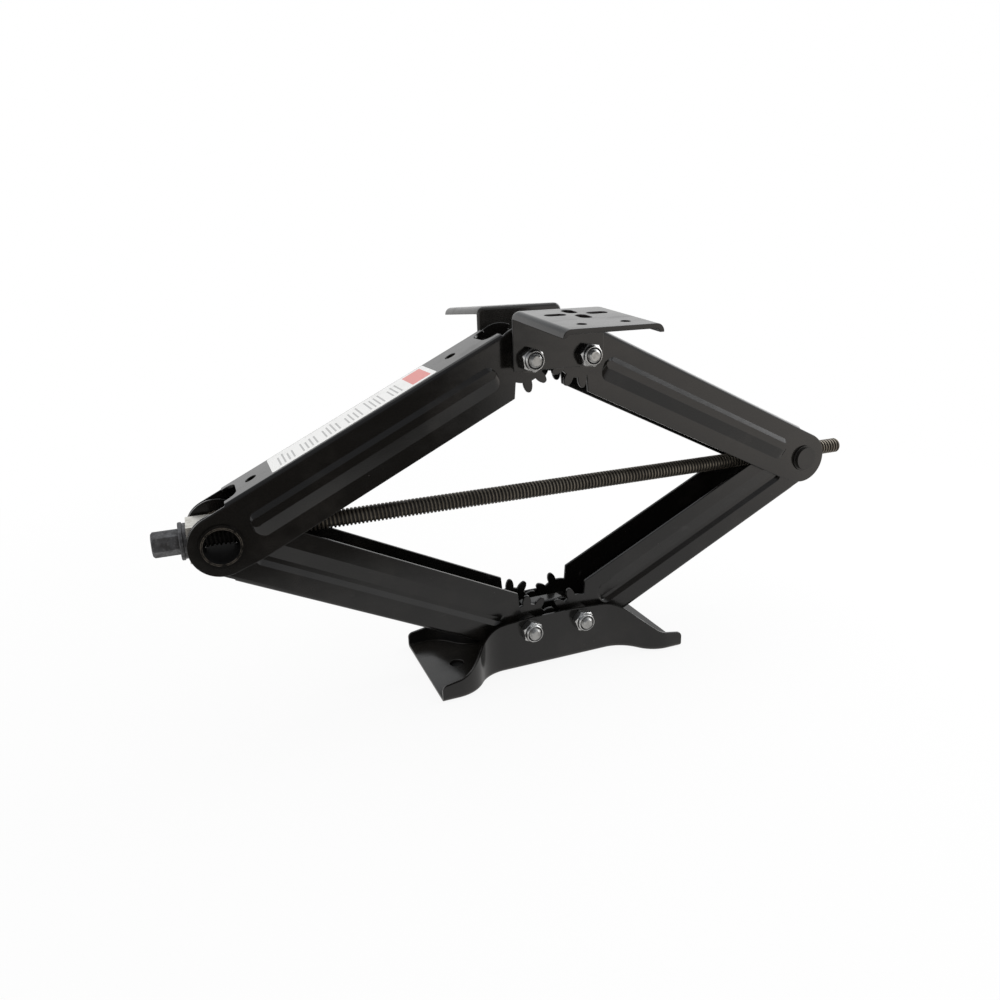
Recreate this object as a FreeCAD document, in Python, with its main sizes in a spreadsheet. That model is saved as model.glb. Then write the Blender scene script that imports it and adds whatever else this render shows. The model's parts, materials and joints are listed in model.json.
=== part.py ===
import FreeCAD, Part
import math
import os

# Scissor stabilizer jack with a lead screw, drawn at the height it stands at in the photo.
# Frame in millimetres: X runs along the lead screw (drive head at minus X), Y across the jack
# (lock nuts at minus Y), Z up. The origin lies on the ground midway between the base pivots.

os.makedirs("parts", exist_ok=True)
doc = FreeCAD.newDocument("scissor_stabilizer_jack")
Vector = FreeCAD.Vector
Rotation = FreeCAD.Rotation
Placement = FreeCAD.Placement

# Driving dimensions, each one a named cell of the sheet
sizes = {
    "armLength": 300.0,           # pivot bolt to knuckle
    "restAngle": 26.0,            # degrees above the screw, as photographed
    "pivotOffset": 28.0,          # half the spacing of a pair of pivot bolts
    "pivotHeight": 40.0,          # base pivots above the ground
    "headRise": 41.0,             # top of the head above the upper pivots
    "armSheet": 3.0,
    "armHoleGap": 0.08,           # arm holes run on the sleeves
    "upperHalfWidth": 28.5,
    "lowerHalfWidth": 23.5,
    "webOffset": 28.0,            # closed side of a channel from the pivot line
    "openOffset": 28.5,           # open side of a channel from the pivot line
    "webBend": 4.0,
    "earRadius": 26.5,
    "pivotEndRadius": 27.0,
    "beadHalfHeight": 8.0,
    "beadDepth": 1.5,
    "webHoleRadius": 5.0,
    "notchHalfWidth": 18.0,
    "notchCorner": 9.0,
    "knuckleNotchDepth": 33.0,    # web cut away from the knuckle to here
    "knuckleLip": 21.0,           # web left beside the notch starts here
    "pivotNotchDepth": 21.0,
    "pivotLip": 7.5,
    "knuckleWebHole": 47.5,       # web holes from the knuckle and from the pivot
    "pivotWebHole": 51.0,
    "beadEndGap": 28.0,           # bead ends from the knuckle and from the pivot
    "earBlend": 20.0,             # the ear's round gives way to the channel here
    "pivotShoulder": 8.0,         # the web stops this far short of the pivot
    "openEdgeEnd": 23.5,          # the open edge stops this far short of the pivot
    "toothTipRound": 1.3,
    "toothBacklash": 0.8,
    "tipRadius": 32.0,
    "rootRadius": 22.6,
    "baseHalfLength": 128.5,
    "baseEndHalfWidth": 60.0,
    "baseWaistHalfWidth": 32.0,
    "baseSheet": 3.0,
    "baseEndStraight": 16.5,      # straight stretch at each end of the plan
    "baseFlare": 56.0,            # length of the bend from the waist out to the end
    "baseCrown": 12.0,            # top of the wall above the pivots
    "baseEndHeight": 11.5,
    "basePlateHoleInset": 33.5,   # foot holes from the ends
    "basePlateHoleRadius": 6.8,
    "bracketHalfLength": 43.7,
    "bracketSheet": 4.0,
    "bracketWallY": 44.0,
    "flangeReach": 140.5,
    "bracketDrop": 9.8,           # lower edge of a bracket wall under the pivots
    "flangeBend": 3.2,            # outside of the bend between wall and flange
    "flangeRoot": 8.0,            # level stretch of a flange next to its bend
    "frontFlangeDroop": 8.2,      # outer edge of a flange under its bend
    "rearFlangeDroop": 5.4,
    "flangeCurl": 7.0,            # outside of the curled-down sides
    "slotInset": 65.0,            # middle of the slots from the outer edge
    "slotHalfWidth": 5.2,
    "sideSlotX": 19.2,
    "sideSlotHalfLength": 9.6,
    "crossSlotSpread": 13.0,
    "crossSlotHalfLength": 9.2,
    "flangeHoleInset": 18.5,
    "flangeHoleRadius": 4.2,
    "spacerHalfWidth": 7.5,       # folded spacer on the base sleeves, between the gear ends
    "spacerSheet": 2.0,
    "spacerBend": 2.5,
    "spacerRise": 15.0,           # its top above the pivots
    "spacerHalfTop": 18.5,
    "spacerEndRadius": 11.5,
    "boltRadius": 6.0,
    "boltHoleRadius": 6.3,
    "boltStub": 2.5,
    "boltTipTaper": 1.0,
    "boltHeadHeight": 7.5,
    "wrenchSize": 19.0,           # across flats of bolt heads, nuts and drive head
    "nutHeight": 12.0,
    "nutCollarHeight": 3.0,
    "sleeveRadius": 8.5,
    "sleeveBore": 6.1,
    "ringRadius": 12.0,
    "ringGap": 0.1,
    "tubeRadius": 16.4,
    "tubeBore": 14.6,
    "tubeRimRadius": 18.4,
    "tubeRimThickness": 2.2,
    "screwRadius": 8.0,
    "screwHoleRadius": 8.3,
    "spigotRadius": 6.0,
    "screwLeft": 53.0,            # drive end beyond the left knuckle
    "screwRight": 72.0,           # free end beyond the right knuckle
    "screwTipTaper": 1.5,
    "spigotStop": 3.0,            # bottom of the drive head's bore under its end face
    "blockFace": 25.4,
    "blockHalfWidth": 16.0,
    "blockHalfHeight": 15.5,
    "blockDepth": 19.4,
    "thrustWasherThickness": 3.2,
    "thrustWasherRadius": 15.0,
    "headFlangeThickness": 3.0,
    "headFlangeRadius": 16.0,
    "collarRadius": 12.5,
    "collarLength": 7.0,
    "collarGap": 1.0,
    "trunnionRadius": 13.5,
    "trunnionHalfBody": 20.2,
    "journalRadius": 10.4,
    "trunnionHeadRadius": 11.8,
    "trunnionHeadThickness": 3.0,
    "trunnionWasherRadius": 13.6,
    "trunnionWasherThickness": 1.6,
    "labelStart": 66.0,
    "labelLength": 161.0,
    "labelHalfWidth": 23.0,
    "labelThickness": 0.3,
    "sideGap": 0.3,               # between turned pieces and what turns beside them
    "seatGap": 0.02,              # between a round piece and the bore it is fixed in
    "ringBoreGap": 0.05,
}
sheet = doc.addObject("Spreadsheet::Sheet", "Sizes")
for row, (alias, value) in enumerate(sizes.items(), start=1):
    sheet.set("A%d" % row, alias)
    sheet.set("B%d" % row, str(value))
    sheet.setAlias("B%d" % row, alias)
doc.recompute()


class Sizes:
    """The driving dimensions by name, read once from the table above."""

    def __init__(self, table):
        self.__dict__.update(table)


s = Sizes(sizes)

# Places worked out from the driving dimensions
tilt = math.radians(s.restAngle)
knuckleX = s.pivotOffset + s.armLength * math.cos(tilt)
screwZ = s.pivotHeight + s.armLength * math.sin(tilt)
upperPivotZ = s.pivotHeight + 2 * s.armLength * math.sin(tilt)
headZ = upperPivotZ + s.headRise

# Gear sectors on the pivot ends: eleven teeth to a full circle
teethPerTurn = 11
toothStep = 2 * math.pi / teethPerTurn
pressureAngle = math.radians(25.0)
rootEase = 0.02                   # radians of fillet between a flank and the root circle

# Cuts start and end this far outside the metal
overcut = 2.0


def bind(thing, **expressions):
    """Ties properties of an object to cells of the sheet."""
    for name, expression in expressions.items():
        thing.setExpression(name.replace("__", "."), expression)


def path(start, *steps):
    """Closed outline: a step is a point for a line, or a middle and an end point for an arc."""
    edges = []
    here = Vector(start[0], start[1], 0)
    for step in steps + (start,):
        if isinstance(step[0], tuple):
            middle = Vector(step[0][0], step[0][1], 0)
            end = Vector(step[1][0], step[1][1], 0)
            edges.append(Part.ArcOfCircle(here, middle, end))
        else:
            end = Vector(step[0], step[1], 0)
            if here.distanceToPoint(end) > 1e-6:
                edges.append(Part.LineSegment(here, end))
        here = end
    return edges


def circle(x, y, radius):
    return [Part.Circle(Vector(x, y, 0), Vector(0, 0, 1), radius)]


def slot(x, y, halfX, halfY):
    """Slot with round ends, longer along whichever half size is larger."""
    if halfX >= halfY:
        straight = halfX - halfY
        return path((x - straight, y - halfY), (x + straight, y - halfY),
                    ((x + halfX, y), (x + straight, y + halfY)), (x - straight, y + halfY),
                    ((x - halfX, y), (x - straight, y - halfY)))
    straight = halfY - halfX
    return path((x + halfX, y - straight), (x + halfX, y + straight),
                ((x, y + halfY), (x - halfX, y + straight)), (x - halfX, y - straight),
                ((x, y - halfY), (x + halfX, y - straight)))


def sketch(body, name, role, edges, offset=None):
    """Sketch on one of the body's own origin planes, moved along its normal by a sheet expression."""
    item = body.newObject("Sketcher::SketchObject", name)
    plane = [feature for feature in body.Origin.OriginFeatures if feature.Role == role][0]
    item.AttachmentSupport = [(plane, "")]
    item.MapMode = "FlatFace"
    if offset is not None:
        item.setExpression("AttachmentOffset.Base.z", offset)
    for edge in edges:
        item.addGeometry(edge)
    return item


def extrude(body, kind, name, profile, length, symmetric=False, reverse=False, taper=0):
    """Pad or pocket with its length tied to the sheet."""
    feature = body.newObject("PartDesign::" + kind, name)
    feature.Profile = profile
    if symmetric:
        feature.SideType = "Symmetric"
    feature.Reversed = reverse
    feature.TaperAngle = taper
    feature.setExpression("Length", length)
    doc.recompute()
    return feature


def fillet(body, name, feature, radius, chosen):
    """Rounds the edges of a feature that a test picks out."""
    names = []
    for number, edge in enumerate(feature.Shape.Edges, start=1):
        if chosen(edge):
            names.append("Edge%d" % number)
    rounding = body.newObject("PartDesign::Fillet", name)
    rounding.Base = (feature, names)
    rounding.setExpression("Radius", radius)
    doc.recompute()
    return rounding


# Arms
beadSlope = -55.0                 # the bead's sides, degrees from square


def toothHalf(radius):
    """Half the angle a tooth spans at a radius, for an involute flank."""
    baseRadius = s.pivotOffset * math.cos(pressureAngle)
    spread = math.acos(min(1.0, baseRadius / radius))
    thickness = math.pi * s.pivotOffset / teethPerTurn - s.toothBacklash / 2
    fullSpread = math.tan(pressureAngle) - pressureAngle
    return thickness / 2 / s.pivotOffset + fullSpread - (math.tan(spread) - spread)


toothRootHalf = toothHalf(s.rootRadius) + rootEase


def toothSteps(centre, angle):
    """Steps over one tooth, from the root before it to the root after it."""
    tipEdge = s.tipRadius - s.toothTipRound

    def at(radius, turn):
        return (centre + radius * math.cos(turn), -radius * math.sin(turn))

    pitchHalf = toothHalf(s.pivotOffset)
    tipHalf = toothHalf(tipEdge)
    return [(at(s.pivotOffset, angle - pitchHalf), at(tipEdge, angle - tipHalf)),
            (at(s.tipRadius, angle), at(tipEdge, angle + tipHalf)),
            (at(s.pivotOffset, angle + pitchHalf), at(s.rootRadius, angle + toothRootHalf))]


def armOutline(toothAngles):
    """Side view of an arm: knuckle at the origin, pivot at the arm length, web at the top."""
    length = s.armLength
    web = s.webOffset
    free = -s.openOffset
    end = s.pivotEndRadius
    shoulder = s.pivotShoulder
    ramp = web - s.earRadius
    crownTurn = math.radians(-75)
    lastTurn = math.radians(135)

    def around(radius, turn):
        return (length + radius * math.cos(turn), -radius * math.sin(turn))

    first = toothAngles[0] - toothStep / 2
    steps = [(s.earBlend, s.earRadius), (s.earBlend + ramp, web), (length - shoulder, web),
             (length - shoulder, math.sqrt(end ** 2 - shoulder ** 2)),
             (around(end, crownTurn), around(end, first))]
    steps.append(around(s.rootRadius, first))
    leave = first
    for angle in toothAngles:
        steps.append((around(s.rootRadius, (leave + angle - toothRootHalf) / 2),
                      around(s.rootRadius, angle - toothRootHalf)))
        steps.extend(toothSteps(length, angle))
        leave = angle + toothRootHalf
    steps.append((around(s.rootRadius, (leave + lastTurn) / 2), around(s.rootRadius, lastTurn)))
    steps.append((length - s.openEdgeEnd, free))
    steps.append((s.earBlend, free))
    steps.append((0.0, -s.earRadius))
    steps.append(((-s.earRadius, 0.0), (0.0, s.earRadius)))
    return path((0.0, s.earRadius), *steps)


def arm(name, halfWidth, knuckleHole, firstTooth, toothCount, placement):
    """Pressed channel arm with ears at the knuckle and a gear sector at the pivot."""
    body = doc.addObject("PartDesign::Body", name)
    angles = [math.radians(firstTooth) + toothStep * count for count in range(toothCount)]
    width = "2 * Sizes." + halfWidth
    half = sizes[halfWidth]
    inner = half - s.armSheet

    outline = armOutline(angles)
    side = sketch(body, name + "_side", "XZ_Plane", outline)
    block = extrude(body, "Pad", name + "_block", side, width, symmetric=True)

    def isBend(edge):
        middle = edge.BoundBox.Center
        flat = abs(middle.z - s.webOffset) < 0.01 and edge.BoundBox.ZLength < 0.01
        return flat and abs(abs(middle.y) - half) < 0.01 and edge.Length > s.armLength / 2

    fillet(body, name + "_bends", block, "Sizes.webBend", isBend)

    roof = s.webOffset - s.armSheet
    outside = s.webOffset + s.tipRadius
    hollow = path((-outside, -outside), (s.armLength + outside, -outside),
                  (s.armLength + outside, roof), (-outside, roof))
    cavity = sketch(body, name + "_cavity", "XZ_Plane", hollow)
    extrude(body, "Pocket", name + "_hollow", cavity,
            "2 * (Sizes.%s - Sizes.armSheet)" % halfWidth, symmetric=True)

    notch = s.notchHalfWidth
    corner = s.notchCorner
    bow = corner * (1 - math.sqrt(0.5))
    ends = []
    for origin, sign, lip, deep in ((0.0, 1.0, s.knuckleLip, s.knuckleNotchDepth),
                                    (s.armLength, -1.0, s.pivotLip, s.pivotNotchDepth)):
        def at(along, across):
            return (origin + sign * along, across)
        ends += path(at(-outside, -inner), at(lip, -inner), at(lip, -notch), at(deep - corner, -notch),
                     (at(deep - bow, -notch + bow), at(deep, -notch + corner)),
                     at(deep, notch - corner),
                     (at(deep - bow, notch - bow), at(deep - corner, notch)),
                     at(lip, notch), at(lip, inner), at(-outside, inner))
    for along in (s.knuckleWebHole, s.armLength - s.pivotWebHole):
        ends += circle(along, 0.0, s.webHoleRadius)
    webCut = sketch(body, name + "_web_cuts", "XY_Plane", ends, "Sizes.webOffset + %g" % overcut)
    extrude(body, "Pocket", name + "_web", webCut, "Sizes.armSheet + %g" % (2 * overcut))

    holes = circle(0.0, 0.0, knuckleHole) + circle(s.armLength, 0.0, s.sleeveRadius + s.armHoleGap)
    bores = sketch(body, name + "_bores", "XZ_Plane", holes)
    extrude(body, "Pocket", name + "_ears", bores, "%s + %g" % (width, 2 * overcut), symmetric=True)

    # The long bead is pressed into both walls: a hollow outside, the same bulge inside
    bead = slot(s.armLength / 2, 0.0, s.armLength / 2 - s.beadEndGap, s.beadHalfHeight)
    for wall, sign in (("near", ""), ("far", "-")):
        pressed = sketch(body, name + "_bead_" + wall, "XZ_Plane", bead,
                         "%sSizes.%s" % (sign, halfWidth))
        raised = sketch(body, name + "_bulge_" + wall, "XZ_Plane", bead,
                        "%s(Sizes.%s - Sizes.armSheet)" % (sign, halfWidth))
        extrude(body, "Pad", name + "_raised_" + wall, raised, "Sizes.beadDepth",
                reverse=(wall == "near"), taper=beadSlope)
        extrude(body, "Pocket", name + "_pressed_" + wall, pressed, "Sizes.beadDepth",
                reverse=(wall == "far"), taper=beadSlope)
    body.Placement = placement
    return body


def armPlacement(side, rise):
    """Stands an arm at its knuckle: side is minus one at the left, rise is plus one above the screw."""
    along = Vector(-side * math.cos(tilt), 0, rise * math.sin(tilt))
    outward = Vector(side * math.sin(tilt), 0, rise * math.cos(tilt))
    across = outward.cross(along)
    return Placement(Vector(side * knuckleX, 0, screwZ), Rotation(along, across, outward, "XYZ"))


journalHole = s.journalRadius + s.sideGap
tubeHole = s.tubeRadius + s.armHoleGap
halfStep = 180.0 / teethPerTurn
upperPhase = -25.2
lowerPhase = -16.6
arms = [
    arm("lower_left_arm", "lowerHalfWidth", tubeHole, lowerPhase, 5, armPlacement(-1, -1)),
    arm("lower_right_arm", "lowerHalfWidth", journalHole, lowerPhase + halfStep, 4, armPlacement(1, -1)),
    arm("upper_left_arm", "upperHalfWidth", tubeHole, upperPhase, 5, armPlacement(-1, 1)),
    arm("upper_right_arm", "upperHalfWidth", journalHole, upperPhase + halfStep, 5, armPlacement(1, 1)),
]


# Base: a bow-tie plan with walls that hump up to the pivots
bendEnd = s.baseHalfLength - s.baseEndStraight
bendStart = bendEnd - s.baseFlare


def baseOutline(inset, halfLength):
    """Plan of the base, its long sides made of two tangent arcs at each end."""
    wide = s.baseEndHalfWidth - inset
    narrow = s.baseWaistHalfWidth - inset
    swing = s.baseEndHalfWidth - s.baseWaistHalfWidth
    radius = (s.baseFlare ** 2 + swing ** 2) / (4 * swing)
    turn = math.asin(s.baseFlare / 2 / radius)
    wideArc = radius - inset
    narrowArc = radius + inset
    joinX = bendEnd - wideArc * math.sin(turn)
    joinY = s.baseEndHalfWidth - radius + wideArc * math.cos(turn)

    def corner(signX, signY, outbound):
        wideMiddle = (signX * (bendEnd - wideArc * math.sin(turn / 2)),
                      signY * (s.baseEndHalfWidth - radius + wideArc * math.cos(turn / 2)))
        narrowMiddle = (signX * (bendStart + narrowArc * math.sin(turn / 2)),
                        signY * (s.baseWaistHalfWidth + radius - narrowArc * math.cos(turn / 2)))
        join = (signX * joinX, signY * joinY)
        if outbound:
            return [(signX * bendStart, signY * narrow), (narrowMiddle, join),
                    (wideMiddle, (signX * bendEnd, signY * wide)), (signX * halfLength, signY * wide)]
        return [(signX * halfLength, signY * wide), (signX * bendEnd, signY * wide),
                (wideMiddle, join), (narrowMiddle, (signX * bendStart, signY * narrow))]

    steps = corner(1, -1, True) + corner(1, 1, False) + corner(-1, 1, True) + corner(-1, -1, False)
    return path(steps[0], *steps[1:])


def bowed(start, end, bow):
    """Step over an arc that bows out from the middle of its chord, up if the bow is more than zero."""
    alongX = end[0] - start[0]
    alongZ = end[1] - start[1]
    share = bow / math.hypot(alongX, alongZ)
    lift = abs(alongX) * share
    shift = -alongZ * share if alongX > 0 else alongZ * share
    middle = ((start[0] + end[0]) / 2 + shift, (start[1] + end[1]) / 2 + lift)
    return (middle, end)


def baseSkyline():
    """What is cut off the walls: they rise from the ends in a low step, a slope and a round crown."""
    out = s.baseHalfLength + s.baseEndStraight
    above = 2 * s.pivotHeight
    corner = (s.baseHalfLength, s.baseEndHeight)
    cornerTop = (s.baseHalfLength - 5.0, s.baseEndHeight + 4.7)
    ledge = (bendEnd, s.baseEndHeight + 6.7)
    slopeFoot = (bendEnd - 13.5, s.baseEndHeight + 12.7)
    slopeTop = (bendEnd - 34.0, s.pivotHeight + 0.5)
    crownEdge = (s.pivotOffset + 20.0, s.pivotHeight + 10.2)

    def left(point):
        return (-point[0], point[1])

    crownBow = s.pivotHeight + s.baseCrown - crownEdge[1]
    return path((-out, s.baseEndHeight), left(corner), bowed(left(corner), left(cornerTop), 1.2),
                left(ledge), bowed(left(ledge), left(slopeFoot), -1.0), left(slopeTop),
                bowed(left(slopeTop), left(crownEdge), 2.3), bowed(left(crownEdge), crownEdge, crownBow),
                bowed(crownEdge, slopeTop, 2.3), slopeFoot, bowed(slopeFoot, ledge, -1.0),
                cornerTop, bowed(cornerTop, corner, 1.2), (out, s.baseEndHeight),
                (out, above), (-out, above))


baseBody = doc.addObject("PartDesign::Body", "base_channel")
baseBlank = "Sizes.pivotHeight + Sizes.baseCrown + %g" % overcut
baseAcross = "2 * Sizes.baseEndHalfWidth + %g" % (2 * overcut)
baseFoot = sketch(baseBody, "base_plan", "XY_Plane", baseOutline(0.0, s.baseHalfLength))
basePad = extrude(baseBody, "Pad", "base_block", baseFoot, baseBlank)
baseRound = fillet(baseBody, "base_bends", basePad, "Sizes.webBend",
                   lambda edge: edge.BoundBox.ZMax < 0.01 and edge.BoundBox.XLength > 1.0)
baseInside = sketch(baseBody, "base_tray", "XY_Plane",
                    baseOutline(s.baseSheet, s.baseHalfLength + overcut), baseBlank)
baseHollow = extrude(baseBody, "Pocket", "base_hollow", baseInside, baseBlank + " - Sizes.baseSheet")
baseSky = sketch(baseBody, "base_skyline", "XZ_Plane", baseSkyline())
extrude(baseBody, "Pocket", "base_walls", baseSky, baseAcross, symmetric=True)
pivotHoles = circle(-s.pivotOffset, s.pivotHeight, s.boltHoleRadius)
pivotHoles += circle(s.pivotOffset, s.pivotHeight, s.boltHoleRadius)
baseBores = sketch(baseBody, "base_pivot_holes", "XZ_Plane", pivotHoles)
extrude(baseBody, "Pocket", "base_pivots", baseBores, baseAcross, symmetric=True)
footHoleX = s.baseHalfLength - s.basePlateHoleInset
footHoles = circle(-footHoleX, 0.0, s.basePlateHoleRadius)
footHoles += circle(footHoleX, 0.0, s.basePlateHoleRadius)
baseFeet = sketch(baseBody, "base_foot_holes", "XY_Plane", footHoles, "Sizes.baseSheet + %g" % overcut)
extrude(baseBody, "Pocket", "base_feet", baseFeet, "Sizes.baseSheet + %g" % (2 * overcut))


# Head brackets: a wall on the pivot bolts and a slotted flange with curled-down sides
def bracket(name, side, droop):
    """Bent bracket: side is the sign of Y that its flange runs out to, droop names a sheet cell."""
    body = doc.addObject("PartDesign::Body", name)
    half = s.bracketHalfLength
    curl = s.flangeCurl
    thick = s.bracketSheet
    bow = curl * (1 - math.sqrt(0.5))
    inHalf = half - thick
    inCurl = curl - thick
    inBow = inCurl * (1 - math.sqrt(0.5))
    towards = "" if side < 0 else "-"

    def section(top):
        under = top - thick
        return path((-half, top - curl), ((-half + bow, top - bow), (-half + curl, top)),
                    (half - curl, top), ((half - bow, top - bow), (half, top - curl)),
                    (inHalf, top - curl), ((inHalf - inBow, under - inBow), (inHalf - inCurl, under)),
                    (-inHalf + inCurl, under), ((-inHalf + inBow, under - inBow), (-inHalf, top - curl)))

    # The curled section is swept along the flange: level next to the bend, then leaning down
    inner = "%s(Sizes.bracketWallY - Sizes.bracketSheet)" % towards
    innerY = side * (s.bracketWallY - thick)
    rootY = innerY + side * s.flangeRoot
    fall = math.atan2(sizes[droop], s.flangeReach - abs(rootY))
    lineSketch = sketch(body, name + "_flange_line", "YZ_Plane",
                        [Part.LineSegment(Vector(innerY, headZ, 0), Vector(rootY, headZ, 0)),
                         Part.LineSegment(Vector(rootY, headZ, 0),
                                          Vector(side * s.flangeReach, headZ - sizes[droop], 0))])
    flangeSketch = sketch(body, name + "_flange_section", "XZ_Plane", section(headZ), inner)
    flange = body.newObject("PartDesign::AdditivePipe", name + "_flange")
    flange.Profile = flangeSketch
    flange.Spine = (lineSketch, ["Edge1", "Edge2"])
    flange.Mode = "Standard"
    flange.Transition = "Right corner"
    doc.recompute()
    bottom = upperPivotZ - s.bracketDrop
    plate = path((-half, bottom), (half, bottom), (half, headZ - curl),
                 ((half - bow, headZ - bow), (half - curl, headZ)), (-half + curl, headZ),
                 ((-half + bow, headZ - bow), (-half, headZ - curl)))
    wallSketch = sketch(body, name + "_wall_outline", "XZ_Plane", plate, inner)
    wall = extrude(body, "Pad", name + "_wall", wallSketch, "Sizes.bracketSheet", reverse=(side > 0))

    def isCrown(edge):
        box = edge.BoundBox
        onWall = abs(box.YMin - innerY) < 0.01 and abs(box.YMax - innerY) < 0.01
        return onWall and box.ZMin > headZ - curl - 0.01 and box.ZMax > headZ - 0.01

    fillet(body, name + "_crown", wall, "Sizes.flangeBend", isCrown)

    slotY = side * (s.flangeReach - s.slotInset)
    holeY = side * (s.flangeReach - s.flangeHoleInset)
    openings = []
    for sign in (-1, 1):
        openings += slot(sign * s.sideSlotX, slotY, s.sideSlotHalfLength, s.slotHalfWidth)
        openings += slot(0.0, slotY + sign * s.crossSlotSpread, s.slotHalfWidth, s.crossSlotHalfLength)
        openings += circle(sign * s.sideSlotX, holeY, s.flangeHoleRadius)
    slots = sketch(body, name + "_slots", "XY_Plane", openings,
                   "Sizes.pivotHeight + 2 * Sizes.armLength * sin(Sizes.restAngle * 1 deg)"
                   " + Sizes.headRise + %g" % overcut)
    extrude(body, "Pocket", name + "_slotted", slots,
            "Sizes.bracketSheet + Sizes.%s + %g" % (droop, 2 * overcut))
    bolts = circle(-s.pivotOffset, upperPivotZ, s.boltHoleRadius)
    bolts += circle(s.pivotOffset, upperPivotZ, s.boltHoleRadius)
    bores = sketch(body, name + "_bolt_holes", "XZ_Plane", bolts)
    extrude(body, "Pocket", name + "_bolted", bores,
            "2 * Sizes.bracketWallY + %g" % (2 * overcut), symmetric=True)
    return body


frontBracket = bracket("front_head_bracket", -1, "frontFlangeDroop")
rearBracket = bracket("rear_head_bracket", 1, "rearFlangeDroop")


# Folded spacer between the gear ends of the lower arms, threaded on the base sleeves
spacerBody = doc.addObject("PartDesign::Body", "base_gear_spacer")
spacerTop = s.pivotHeight + s.spacerRise
spacerAcross = "2 * Sizes.spacerHalfWidth"
endRadius = s.spacerEndRadius
spacerSide = path((-s.spacerHalfTop, spacerTop), (s.spacerHalfTop, spacerTop),
                  (s.pivotOffset, s.pivotHeight + endRadius),
                  ((s.pivotOffset + endRadius, s.pivotHeight), (s.pivotOffset, s.pivotHeight - endRadius)),
                  (-s.pivotOffset, s.pivotHeight - endRadius),
                  ((-s.pivotOffset - endRadius, s.pivotHeight), (-s.pivotOffset, s.pivotHeight + endRadius)))
spacerOutline = sketch(spacerBody, "spacer_side", "XZ_Plane", spacerSide)
spacerBlock = extrude(spacerBody, "Pad", "spacer_block", spacerOutline, spacerAcross, symmetric=True)
fillet(spacerBody, "spacer_bends", spacerBlock, "Sizes.spacerBend",
       lambda edge: edge.BoundBox.ZMin > spacerTop - 0.01 and edge.BoundBox.XLength > 1.0)
spacerRoof = spacerTop - s.spacerSheet
spacerInside = path((-2 * s.pivotOffset, 0.0), (2 * s.pivotOffset, 0.0),
                    (2 * s.pivotOffset, spacerRoof), (-2 * s.pivotOffset, spacerRoof))
spacerCavity = sketch(spacerBody, "spacer_cavity", "XZ_Plane", spacerInside)
extrude(spacerBody, "Pocket", "spacer_hollow", spacerCavity,
        "2 * (Sizes.spacerHalfWidth - Sizes.spacerSheet)", symmetric=True)
spacerHoles = circle(-s.pivotOffset, s.pivotHeight, s.sleeveRadius + s.ringBoreGap)
spacerHoles += circle(s.pivotOffset, s.pivotHeight, s.sleeveRadius + s.ringBoreGap)
spacerBores = sketch(spacerBody, "spacer_holes", "XZ_Plane", spacerHoles)
extrude(spacerBody, "Pocket", "spacer_bored", spacerBores, spacerAcross + " + %g" % (2 * overcut),
        symmetric=True)


# Turned pieces and fasteners from primitives tied to the sheet
acrossY = Rotation(Vector(1, 0, 0), 90)      # a primitive's Z axis turned to minus Y
alongX = Rotation(Vector(0, 1, 0), 90)       # a primitive's Z axis turned to plus X
alongMinusX = Rotation(Vector(0, 1, 0), -90)


def cylinder(name, radius, height, base, rotation):
    item = doc.addObject("Part::Cylinder", name)
    bind(item, Radius=radius, Height=height)
    item.Placement = Placement(base, rotation)
    return item


def cone(name, first, second, height, base, rotation):
    item = doc.addObject("Part::Cone", name)
    bind(item, Radius1=first, Radius2=second, Height=height)
    item.Placement = Placement(base, rotation)
    return item


def hexagon(name, height, base, rotation, turn=0.0):
    item = doc.addObject("Part::Prism", name)
    item.Polygon = 6
    bind(item, Circumradius="Sizes.wrenchSize / 2 / cos(30 deg)", Height=height)
    item.Placement = Placement(base, rotation * Rotation(Vector(0, 0, 1), turn))
    return item


def fuse(name, pieces):
    item = doc.addObject("Part::MultiFuse", name)
    item.Shapes = pieces
    item.Refine = True
    return item


def cut(name, base, tool):
    item = doc.addObject("Part::Cut", name)
    item.Base = base
    item.Tool = tool
    return item


def group(name, pieces):
    item = doc.addObject("Part::Compound", name)
    item.Links = pieces
    return item


def chamferedHexagon(name, height, base, rotation, turn=0.0):
    """Hexagon with its outer corners turned off, as on rolled nuts and heads."""
    block = hexagon(name + "_blank", height, base, rotation, turn)
    turned = cone(name + "_turned", "Sizes.wrenchSize * 0.68", "Sizes.wrenchSize * 0.5",
                  height, base, rotation)
    common = doc.addObject("Part::Common", name)
    common.Base = block
    common.Tool = turned
    return common


def hexBolt(name, x, z, wall):
    """Head on the far wall, shank through, plain stub beyond the lock nut; wall names a sheet cell."""
    reach = sizes[wall]
    start = Vector(x, reach, z)
    shank = cylinder(name + "_shank", "Sizes.boltRadius", "2 * Sizes.%s + Sizes.nutHeight" % wall,
                     start, acrossY)
    stub = cone(name + "_stub", "Sizes.boltRadius", "Sizes.boltRadius - Sizes.boltTipTaper",
                "Sizes.boltStub", Vector(x, -reach - s.nutHeight, z), acrossY)
    head = chamferedHexagon(name + "_head", "Sizes.boltHeadHeight", start,
                            Rotation(Vector(1, 0, 0), -90), 12.0)
    return fuse(name, [shank, stub, head])


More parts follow.
